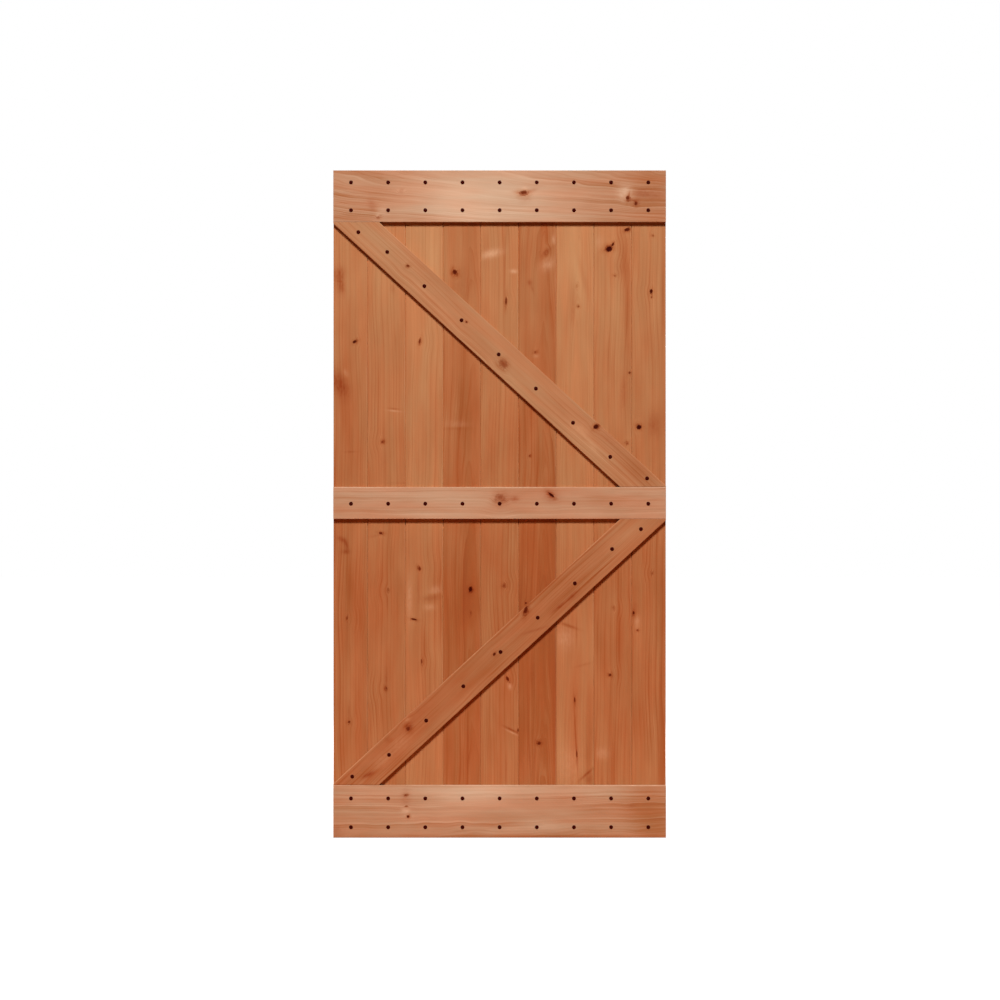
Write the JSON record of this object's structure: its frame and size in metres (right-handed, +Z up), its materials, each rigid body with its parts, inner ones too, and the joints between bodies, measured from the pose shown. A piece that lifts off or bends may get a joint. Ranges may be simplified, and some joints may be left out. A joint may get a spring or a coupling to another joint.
{
  "type": "sliding barn door",
  "caption": "Plank barn door slab for a sliding track: upright tongue-and-groove planks under nailed rails and diagonal braces that form a K on the front.",
  "frame": {"origin": "middle of the slab's bottom edge, half way through the thickness of planks and boards", "axes": "+Z up along the planks, +X to the right seen from the front, -Y out of the braced front"},
  "size_m": [1.0636, 0.037, 2.1336],
  "materials": {
    "plank_wood": "satin",
    "rail_wood": "satin",
    "brace_wood": "satin",
    "nail_iron": "matte"
  },
  "bodies": {
    "root": {"plank_1": "plank_wood", "plank_2": "plank_wood", "plank_3": "plank_wood", "plank_4": "plank_wood", "plank_5": "plank_wood", "plank_6": "plank_wood", "plank_7": "plank_wood", "plank_8": "plank_wood", "plank_9": "plank_wood", "top_rail": "rail_wood", "mid_rail": "rail_wood", "bottom_rail": "rail_wood", "upper_brace": "brace_wood", "lower_brace": "brace_wood", "top_rail_nails": "nail_iron", "mid_rail_nails": "nail_iron", "bottom_rail_nails": "nail_iron", "upper_brace_nails": "nail_iron", "lower_brace_nails": "nail_iron"}
  },
  "joints": []
}
